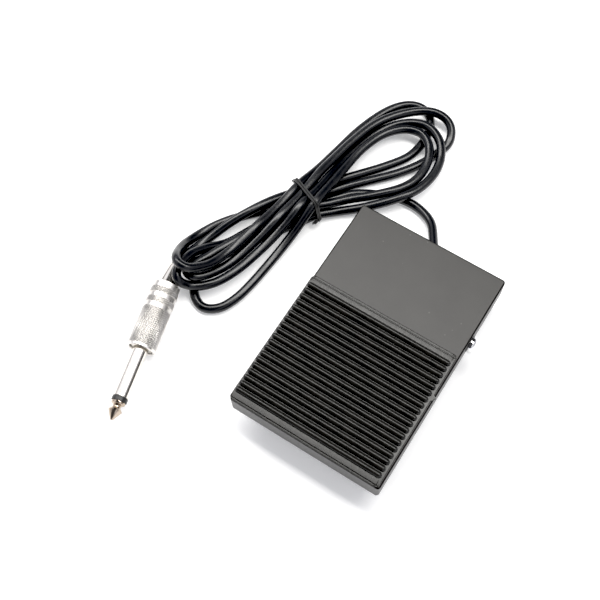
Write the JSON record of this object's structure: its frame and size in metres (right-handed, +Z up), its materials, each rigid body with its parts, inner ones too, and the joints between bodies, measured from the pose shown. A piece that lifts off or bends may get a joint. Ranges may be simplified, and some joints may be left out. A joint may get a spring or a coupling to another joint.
{
  "type": "sustain pedal",
  "caption": "Flat hinged steel foot pedal with a ribbed rubber mat, an internal return spring and microswitch, and a coiled cable ending in a quarter-inch phone plug.",
  "frame": {"origin": "on the floor, under the middle of the pedal, on the sole's underside", "axes": "+Z up; +Y to the rear of the pedal, where the cable leaves; +X to the player's right"},
  "size_m": [0.131, 0.1976, 0.0242],
  "materials": {
    "black_paint": "semi-gloss black paint on folded steel, fine orange peel, small scuffs",
    "grip_rubber": "worn black moulded rubber, satin on the flat strips",
    "sole_rubber": "matt black rubber sheet",
    "chrome": "polished chrome",
    "nickel": "bright nickel plate, fine diamond knurl on the barrel",
    "steel": "zinc-plated steel",
    "cable_pvc": "glossy black flexible PVC",
    "black_plastic": "black moulded plastic",
    "nylon": "natural nylon",
    "brass": "bare brass",
    "red_plastic": "red plastic"
  },
  "bodies": {
    "base": {"sole_pad": "sole_rubber", "base_plate": "black_paint", "pivot_shaft": "steel", "pivot_cap": "chrome", "pivot_retaining_ring": "chrome", "pivot_washer_right": "nylon", "pivot_washer_left": "nylon", "rest_bumper_right": "sole_rubber", "rest_bumper_left": "sole_rubber", "stop_bumper_right": "sole_rubber", "stop_bumper_left": "sole_rubber", "spring_guide_lower": "steel", "return_spring": "steel", "switch_body": "black_plastic", "switch_lever_pin": "steel", "switch_bracket": "steel", "switch_screw_1": "steel", "switch_nut_1": "steel", "switch_screw_2": "steel", "switch_nut_2": "steel", "bracket_screw_1": "steel", "bracket_screw_2": "steel", "terminal_common": "brass", "terminal_open": "brass", "terminal_closed": "brass", "cable": "cable_pvc", "cable_tie": "black_plastic", "cable_grommet": "sole_rubber", "cable_clamp": "nylon", "clamp_screw": "steel", "signal_wire": "red_plastic", "ground_wire": "black_plastic", "plug_tip": "nickel", "plug_insulator_ring": "black_plastic", "plug_inner_insulator": "nylon", "plug_sleeve": "nickel", "plug_barrel": "nickel", "plug_neck": "nickel", "plug_liner": "nylon", "plug_ground_lug": "steel", "plug_signal_wire": "red_plastic"},
    "treadle": {"treadle_cover": "black_paint", "grip_mat": "grip_rubber", "switch_striker": "steel", "spring_guide_upper": "steel"},
    "switch_lever": {"switch_lever": "steel"},
    "switch_plunger": {"switch_plunger": "red_plastic"}
  },
  "joints": [
    {"name": "treadle_press", "type": "hinge", "parent": "base", "child": "treadle", "pos_m": [0, 0.021, 0.016], "axis": [1, 0, 0], "range_deg": [0, 4], "stiffness_Nm_per_rad": 1.5, "springref_deg": -5.73, "deforming": ["return_spring"]},
    {"name": "switch_lever_swing", "type": "hinge", "parent": "base", "child": "switch_lever", "pos_m": [0.0151, 0.014, 0.0163], "axis": [1, 0, 0], "range_deg": [0, 5.8]},
    {"name": "switch_plunger_slide", "type": "slide", "parent": "base", "child": "switch_plunger", "axis": [0, 0, -1], "range_m": [0, 0.0006]}
  ],
  "couplings": [
    {"joint": "switch_lever_swing", "follows": "treadle_press", "ratio": 1.41},
    {"joint": "switch_plunger_slide", "follows": "treadle_press", "m_per_rad": 0.00845}
  ]
}
